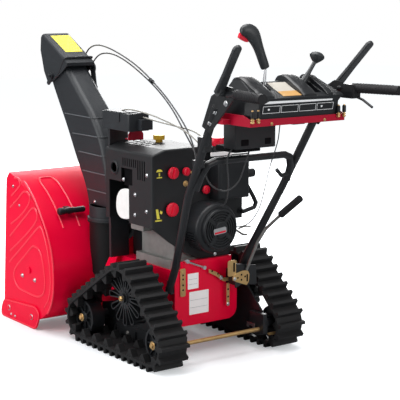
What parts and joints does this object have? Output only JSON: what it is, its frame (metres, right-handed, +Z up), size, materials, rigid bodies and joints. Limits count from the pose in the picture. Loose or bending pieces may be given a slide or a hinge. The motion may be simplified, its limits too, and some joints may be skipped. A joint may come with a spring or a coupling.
{
  "type": "tracked snow blower",
  "caption": "Walk-behind two-stage snow blower on rubber tracks, with auger housing, turning discharge chute, engine and handlebar console.",
  "frame": {"origin": "on the ground under the drive axle, midway between the tracks", "axes": "+X to the operator's right, +Y forward to the auger, +Z up"},
  "size_m": [0.8, 1.6973, 1.2922],
  "materials": {
    "auger": "gloss red paint",
    "auger_gearbox": "painted casting",
    "auger_housing": "gloss red powder coat",
    "belt_cover": "moulded",
    "chute": "moulded",
    "chute_gear_head": "moulded",
    "chute_hood": "moulded",
    "clean_out_tool": "moulded",
    "console_frame": "gloss red powder coat",
    "console_top": "moulded",
    "console_under_box": "moulded",
    "drive_axle": "zinc-plated",
    "drive_wheel_left": "moulded",
    "drive_wheel_right": "moulded",
    "engine_block": "cast",
    "engine_core": "cast",
    "engine_shroud": "satin black paint",
    "filler_cap": "yellow",
    "frame_box": "gloss red powder coat",
    "front_idler_left": "moulded",
    "front_idler_right": "moulded",
    "fuel_tank": "moulded",
    "gear_cable_lower": "grey sheath",
    "gear_cable_upper": "grey sheath",
    "handle_cross_tube": "satin black paint",
    "handlebar_left": "satin black paint",
    "handlebar_right": "satin black paint",
    "height_lever": "yellow zinc-plated with a black grip",
    "hood_cable_lower": "grey sheath",
    "hood_cable_upper": "grey sheath",
    "impeller": "black paint",
    "impeller_drum": "satin black paint",
    "joystick": "moulded",
    "lever_left": "moulded",
    "lever_right": "moulded",
    "rear_cross_rod": "yellow zinc-plated",
    "rear_idler_left": "moulded",
    "rear_idler_right": "moulded",
    "recoil_starter": "moulded",
    "scraper_bar": "black paint",
    "shift_lever": "moulded",
    "skid_left": "gloss red powder coat",
    "skid_right": "gloss red powder coat",
    "track_frame_left": "satin black paint",
    "track_frame_right": "satin black paint",
    "track_left": "ribbed rubber",
    "track_right": "ribbed rubber"
  },
  "bodies": {
    "track_unit": {"track_right": "track_right", "track_left": "track_left", "drive_wheel_right": "drive_wheel_right", "drive_wheel_left": "drive_wheel_left", "front_idler_right": "front_idler_right", "front_idler_left": "front_idler_left", "rear_idler_right": "rear_idler_right", "rear_idler_left": "rear_idler_left", "track_frame_right": "track_frame_right", "track_frame_left": "track_frame_left", "drive_axle": "drive_axle", "rear_cross_rod": "rear_cross_rod"},
    "chassis": {"auger_gearbox": "auger_gearbox", "auger_housing": "auger_housing", "belt_cover": "belt_cover", "chute_gear_head": "chute_gear_head", "clean_out_tool": "clean_out_tool", "console_frame": "console_frame", "console_top": "console_top", "console_under_box": "console_under_box", "engine_block": "engine_block", "engine_core": "engine_core", "engine_shroud": "engine_shroud", "filler_cap": "filler_cap", "frame_box": "frame_box", "fuel_tank": "fuel_tank", "gear_cable_lower": "gear_cable_lower", "gear_cable_upper": "gear_cable_upper", "handle_cross_tube": "handle_cross_tube", "handlebar_left": "handlebar_left", "handlebar_right": "handlebar_right", "height_lever": "height_lever", "hood_cable_lower": "hood_cable_lower", "hood_cable_upper": "hood_cable_upper", "impeller_drum": "impeller_drum", "joystick": "joystick", "lever_left": "lever_left", "lever_right": "lever_right", "recoil_starter": "recoil_starter", "scraper_bar": "scraper_bar", "shift_lever": "shift_lever", "skid_left": "skid_left", "skid_right": "skid_right"},
    "auger_rotor": {"auger": "auger"},
    "impeller_rotor": {"impeller": "impeller"},
    "chute_body": {"chute": "chute"},
    "hood_body": {"chute_hood": "chute_hood"}
  },
  "joints": [
    {"name": "frame_tilt", "type": "hinge", "parent": "track_unit", "child": "chassis", "pos_m": [0, 0, 0.236], "axis": [1, 0, 0], "range_deg": [0, 8]},
    {"name": "auger_spin", "type": "hinge", "parent": "chassis", "child": "auger_rotor", "pos_m": [0, 0.61, 0.245], "axis": [1, 0, 0], "continuous": true},
    {"name": "impeller_spin", "type": "hinge", "parent": "chassis", "child": "impeller_rotor", "pos_m": [0, 0.4, 0.245], "axis": [0, 1, 0], "continuous": true},
    {"name": "chute_turn", "type": "hinge", "parent": "chassis", "child": "chute_body", "pos_m": [-0.118, 0.395, 0.47], "axis": [0, 0, 1], "range_deg": [-95, 95], "deforming": ["hood_cable_upper", "hood_cable_lower"]},
    {"name": "hood_tilt", "type": "hinge", "parent": "chute_body", "child": "hood_body", "pos_m": [-0.118, 0.768, 1.043], "axis": [1, 0, 0], "range_deg": [-50, 5]}
  ],
  "couplings": [
    {"joint": "auger_spin", "follows": "impeller_spin", "ratio": 0.1}
  ]
}
